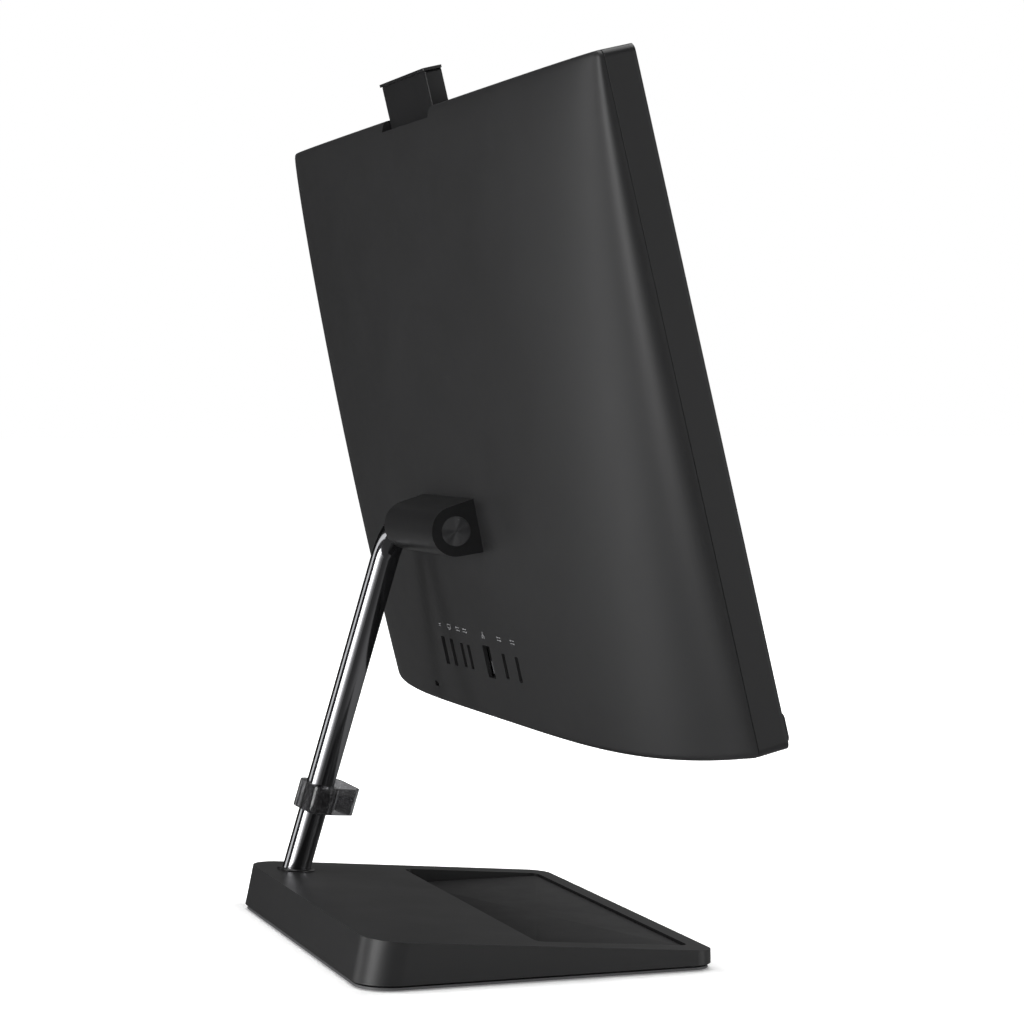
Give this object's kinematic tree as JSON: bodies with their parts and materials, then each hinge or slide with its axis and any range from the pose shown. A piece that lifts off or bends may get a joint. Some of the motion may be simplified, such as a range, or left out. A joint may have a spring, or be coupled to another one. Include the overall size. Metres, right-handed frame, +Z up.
{
  "type": "all in one pc",
  "caption": "Flat desktop computer built into a display, tilting on a bent tube stand over a wedge base with a tray; raised camera module, rear socket row, cable clip.",
  "frame": {"origin": "on the desk, under the middle of the object's box", "axes": "+Z up, the screen faces -Y, +X is the viewer's right from the front"},
  "size_m": [0.541, 0.1868, 0.4635],
  "materials": {
    "alloy": "mill finish",
    "backlight": "white reflector unit",
    "base_plastic": "fine-textured black moulded plastic",
    "bezel_plastic": "smooth satin black plastic",
    "black_plastic": "plain moulded plastic",
    "board_green": "circuit board with solder mask",
    "bottom_plastic": "dark grey moulded plastic",
    "cap_metal": "spun dark metal disc",
    "cast_block": "as cast",
    "copper": "copper tube",
    "dark_chrome": "polished black chrome",
    "foot_rubber": "soft feet",
    "hinge_plastic": "satin black",
    "lens_glass": "coated lens",
    "screen_glass": "anti-glare dark display surface",
    "shell_plastic": "fine-textured black moulded plastic",
    "smoke_plastic": "clear smoke-tinted plastic",
    "socket_metal": "nickel-plated shell",
    "speaker_grille": "black acoustic mesh cloth",
    "steel": "zinc-plated sheet",
    "tray_rubber": "fine ribbed mat",
    "window_glass": "black-backed window"
  },
  "bodies": {
    "stand": {"pole": "dark_chrome", "hinge_spindle": "steel", "disc_springs": "steel", "spindle_nut": "steel", "pole_ferrule": "dark_chrome", "pole_socket": "cast_block", "base_cover": "base_plastic", "tray_mat": "tray_rubber", "base_weight": "steel", "base_bottom": "bottom_plastic", "rubber_feet": "foot_rubber", "base_screws": "steel", "socket_screws": "steel"},
    "display": {"front_bezel": "bezel_plastic", "lcd_panel": "screen_glass", "backlight_unit": "backlight", "middle_frame": "shell_plastic", "rear_cover": "shell_plastic", "chassis_plate": "steel", "hinge_bracket": "steel", "mainboard": "board_green", "memory_modules": "board_green", "ssd_module": "board_green", "wifi_card": "board_green", "hard_drive": "alloy", "drive_bracket": "steel", "speaker_left": "black_plastic", "speaker_right": "black_plastic", "speaker_bar": "speaker_grille", "heatsink_block": "copper", "heat_pipe": "copper", "fan_housing": "black_plastic", "fin_stack": "alloy", "dc_inlet": "black_plastic", "hdmi_port": "socket_metal", "usb_ports": "socket_metal", "lan_port": "black_plastic", "power_button_board": "board_green", "camera_guide": "black_plastic", "hinge_housing": "hinge_plastic", "hinge_end_cap": "cap_metal", "friction_sleeve": "steel", "housing_screws": "steel"},
    "fan": {"fan_rotor": "black_plastic"},
    "camera": {"camera_body": "bezel_plastic", "camera_lid": "bezel_plastic", "camera_window": "window_glass", "camera_board": "board_green", "camera_lens": "lens_glass"},
    "power_button": {"power_button": "bezel_plastic"},
    "lan_jaw": {"lan_jaw": "bottom_plastic"},
    "clip": {"cable_clip": "smoke_plastic"}
  },
  "joints": [
    {"name": "display_tilt", "type": "hinge", "parent": "stand", "child": "display", "pos_m": [0, 0.01726, 0.22085], "axis": [1, 0, 0], "range_deg": [-8.4, 18.6]},
    {"name": "fan_spin", "type": "hinge", "parent": "display", "child": "fan", "pos_m": [0.162, -0.00449, 0.31892], "axis": [0, 0.972, -0.2351], "continuous": true},
    {"name": "camera_slide", "type": "slide", "parent": "display", "child": "camera", "axis": [0, 0.2351, 0.972], "range_m": [-0.0197, 0]},
    {"name": "power_button_press", "type": "slide", "parent": "display", "child": "power_button", "axis": [-1, 0, 0], "range_m": [0, 0.0008], "stiffness_N_per_m": 800},
    {"name": "lan_jaw_swing", "type": "hinge", "parent": "display", "child": "lan_jaw", "pos_m": [-0.0132, -0.01792, 0.14263], "axis": [-1, 0, 0], "range_deg": [0, 25], "stiffness_Nm_per_rad": 0.004, "springref_deg": -17.19},
    {"name": "clip_slide", "type": "slide", "parent": "stand", "child": "clip", "axis": [-0.1553, -0.2395, 0.9584], "range_m": [-0.03, 0.052]}
  ]
}
